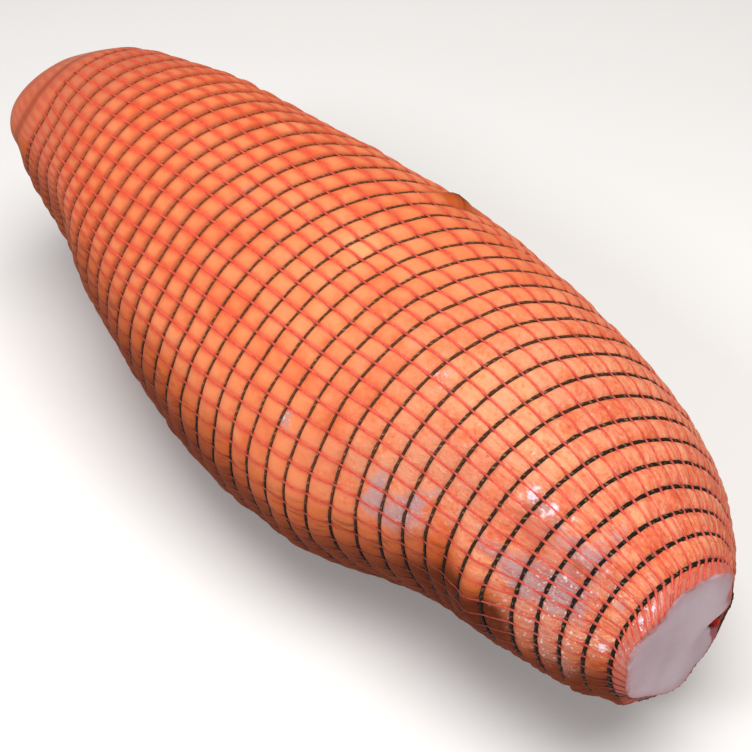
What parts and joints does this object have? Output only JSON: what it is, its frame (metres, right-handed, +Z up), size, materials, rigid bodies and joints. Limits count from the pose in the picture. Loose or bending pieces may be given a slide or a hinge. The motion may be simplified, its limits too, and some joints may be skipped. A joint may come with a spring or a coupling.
{
  "type": "netted turkey roll",
  "caption": "Long spindle-shaped turkey roll, round at the rear, cut flat at the front, held in a tight elastic net of hoops joined by lengthwise threads.",
  "frame": {"origin": "middle of the bounding box at its base, on the table that the roll rests on", "axes": "+X along the roll towards its cut end, +Z up"},
  "size_m": [0.3929, 0.1538, 0.1462],
  "materials": {
    "turkey_skin": "moist salmon-orange seasoned poultry skin with yellowish fat spots, pale lilac patches and a wet gloss; pale greyish lilac meat on the cut face",
    "elastic_net": "black-brown covered elastic hoops with olive and silver flecks, and thin dull red lengthwise threads"
  },
  "bodies": {
    "root": {"turkey_roll": "turkey_skin", "net": "elastic_net"}
  },
  "joints": []
}
